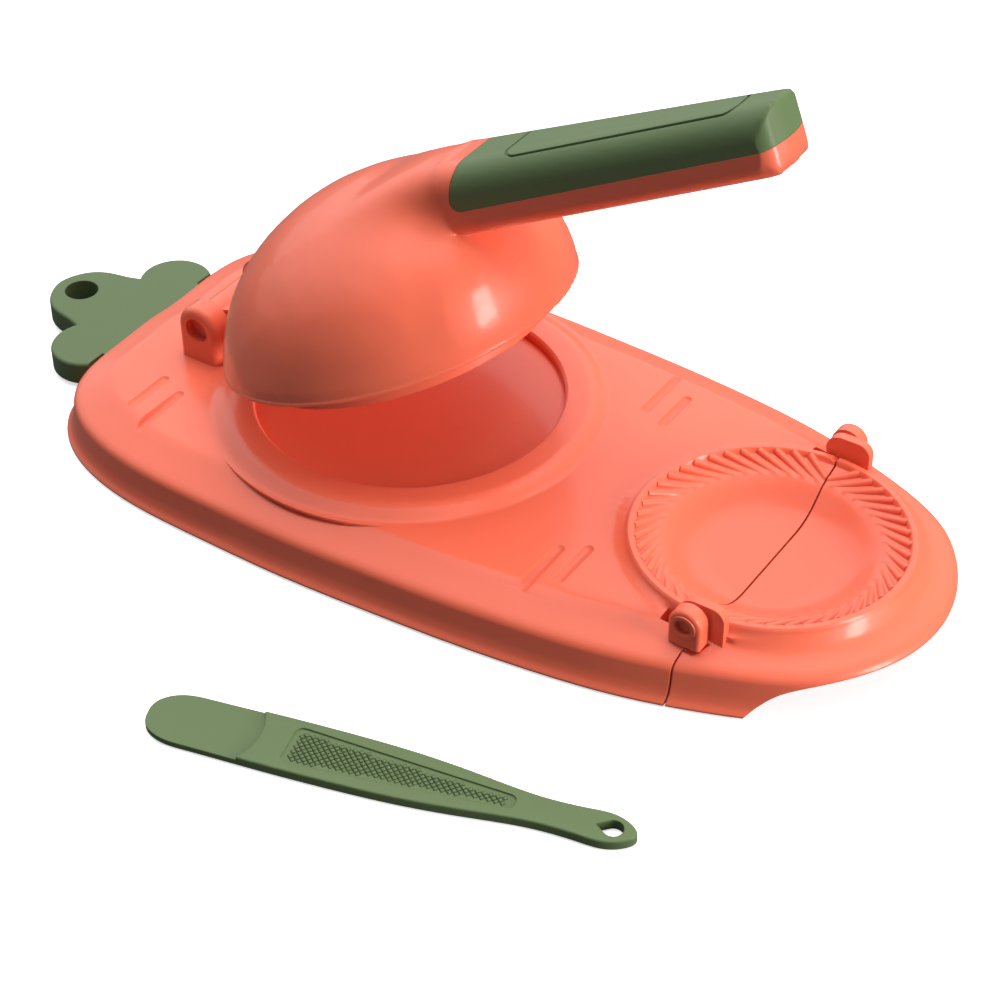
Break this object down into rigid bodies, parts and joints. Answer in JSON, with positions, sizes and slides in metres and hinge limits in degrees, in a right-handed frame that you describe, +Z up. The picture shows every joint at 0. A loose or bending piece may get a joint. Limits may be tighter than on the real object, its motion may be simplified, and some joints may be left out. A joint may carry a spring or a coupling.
{
  "type": "dumpling press",
  "caption": "Dumpling press: domed press lid on a long handle hinged over a round well, folding crimp mould in the tip, leaf-shaped hanging end and a loose filling spatula.",
  "frame": {"origin": "on the table under the centre of the press well", "axes": "+X along the press toward the folding tip, +Y away from the spatula, +Z up from the table"},
  "size_m": [0.3501, 0.2362, 0.1728],
  "materials": {
    "coral": "satin gloss, moulded",
    "green": "satin, moulded",
    "pin": "satin gloss, moulded",
    "steel": "zinc plated",
    "rubber": "matt"
  },
  "bodies": {
    "base": {"base_tray": "coral", "leaf_top": "green", "leaf_screws": "steel", "base_feet": "rubber"},
    "lid": {"lid_dome": "coral", "handle_cover": "green", "press_plate": "coral", "plate_screws": "steel", "handle_screws": "steel", "lid_hinge_pin": "pin"},
    "tip": {"tip_tray": "coral", "mould_pin_near": "pin", "mould_pin_far": "pin"},
    "spatula": {"spatula": "green"}
  },
  "joints": [
    {"name": "lid_hinge", "type": "hinge", "parent": "base", "child": "lid", "pos_m": [-0.0723, 0, 0.0319], "axis": [0, -1, 0], "range_deg": [-20.2, 80]},
    {"name": "tip_fold", "type": "hinge", "parent": "base", "child": "tip", "pos_m": [0.136, 0, 0.0245], "axis": [0, -1, 0], "range_deg": [0, 180]},
    {"name": "spatula_lift", "type": "slide", "parent": "base", "child": "spatula", "axis": [0, 0, 1], "range_m": [0, 0.1]}
  ]
}
